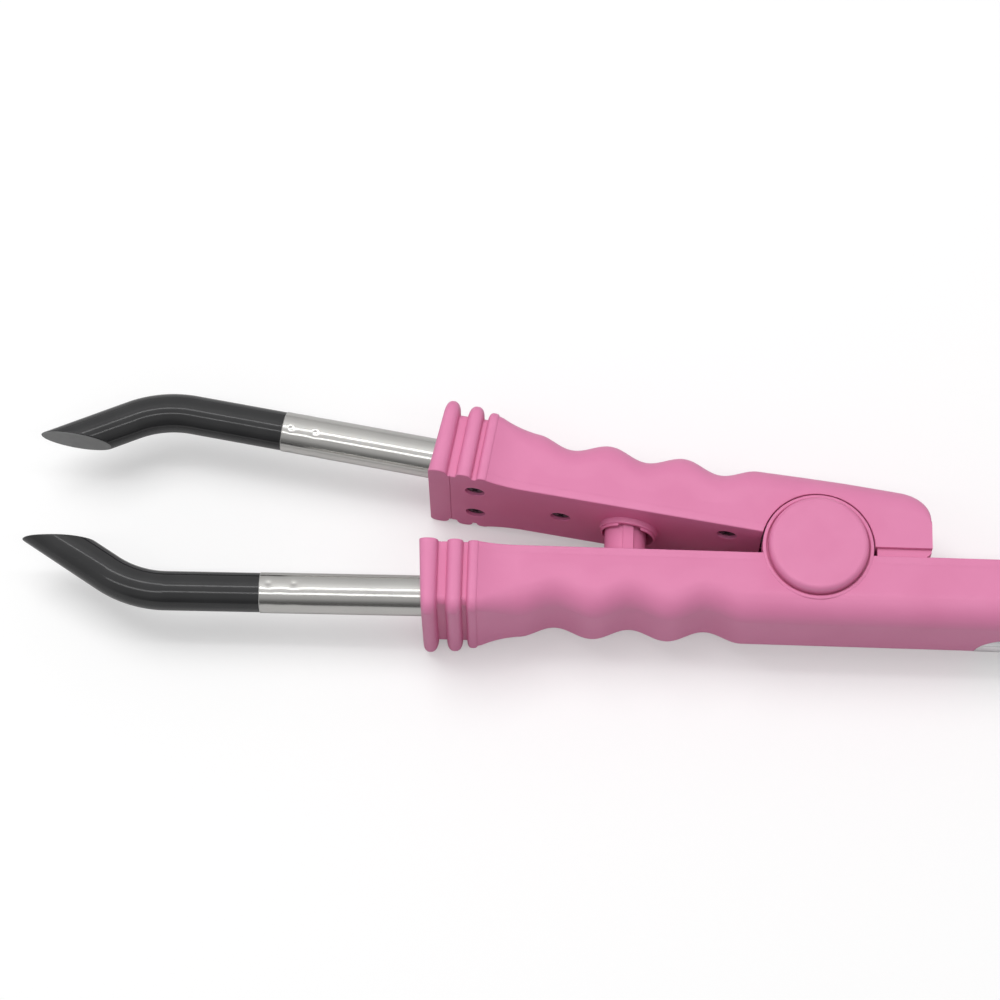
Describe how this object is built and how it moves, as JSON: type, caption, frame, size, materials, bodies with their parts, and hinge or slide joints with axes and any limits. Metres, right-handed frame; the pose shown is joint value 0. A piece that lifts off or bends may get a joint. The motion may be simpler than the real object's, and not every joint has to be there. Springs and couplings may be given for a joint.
{
  "type": "hair extension fusion iron",
  "caption": "Sprung hand plier for bonding hair extensions: ridged, finger-shaped grips joined at a round hub, with two bent heated tips on slim steel barrels.",
  "frame": {"origin": "on the hinge axis, at the flat outer face of the underside hub cap", "axes": "+X along the lower arm from the hinge towards its rear end, so the tips point to -X; +Y from the lower arm to the upper arm; +Z along the hinge axis, up, with the iron lying on its side"},
  "size_m": [0.2675, 0.0569, 0.031],
  "materials": {
    "grip": "satin moulded plastic",
    "cap": "satin moulded plastic",
    "cover": "satin moulded plastic",
    "barrel": "polished stainless tube",
    "tip": "satin black coating",
    "ceramic": "matt",
    "clamp": "heat-proof moulding",
    "steel": "plain steel",
    "bronze": "sintered",
    "screw": "blackened steel",
    "board": "glass-fibre board",
    "component": "moulded parts",
    "switch": "satin",
    "rocker": "gloss",
    "lens": "clear tinted",
    "lamp": "clear",
    "gland": "matt",
    "lead": "silicone sleeve",
    "lead_pale": "silicone sleeve"
  },
  "bodies": {
    "lower_arm": {"lower_shell": "grip", "lower_front_cover": "cover", "lower_rear_cover": "cover", "lower_barrel": "barrel", "lower_tip": "tip", "lower_heater": "ceramic", "lower_lead_tube": "ceramic", "lower_clamp": "clamp", "guide_post": "cover", "return_spring": "steel", "pivot_pin": "steel", "pivot_nut": "steel", "upside_cap": "cap", "underside_cap": "cap", "lower_screws": "screw", "rear_screws": "screw", "circuit_board": "board", "board_components": "component", "board_screws": "steel", "switch_body": "switch", "indicator_lens": "lens", "indicator_lamp": "lamp", "cord_gland": "gland", "lower_leads": "lead", "hinge_leads": "lead_pale"},
    "upper_arm": {"upper_shell": "grip", "upper_cover": "cover", "tail_cover": "cover", "upper_barrel": "barrel", "upper_tip": "tip", "upper_heater": "ceramic", "upper_lead_tube": "ceramic", "upper_clamp": "clamp", "pivot_bushes": "bronze", "upper_screws": "screw", "upper_leads": "lead_pale"},
    "rocker": {"power_rocker": "rocker"}
  },
  "joints": [
    {"name": "jaw_hinge", "type": "hinge", "parent": "lower_arm", "child": "upper_arm", "pos_m": [0, 0, 0.0135], "axis": [0, 0, 1], "range_deg": [0, 8.17], "stiffness_Nm_per_rad": 2.4, "springref_deg": -2.86, "deforming": ["return_spring", "hinge_leads"]},
    {"name": "rocker_tilt", "type": "hinge", "parent": "lower_arm", "child": "rocker", "pos_m": [0.0626, -0.0029, 0.0135], "axis": [0, 0, 1], "range_deg": [0, 18]}
  ]
}
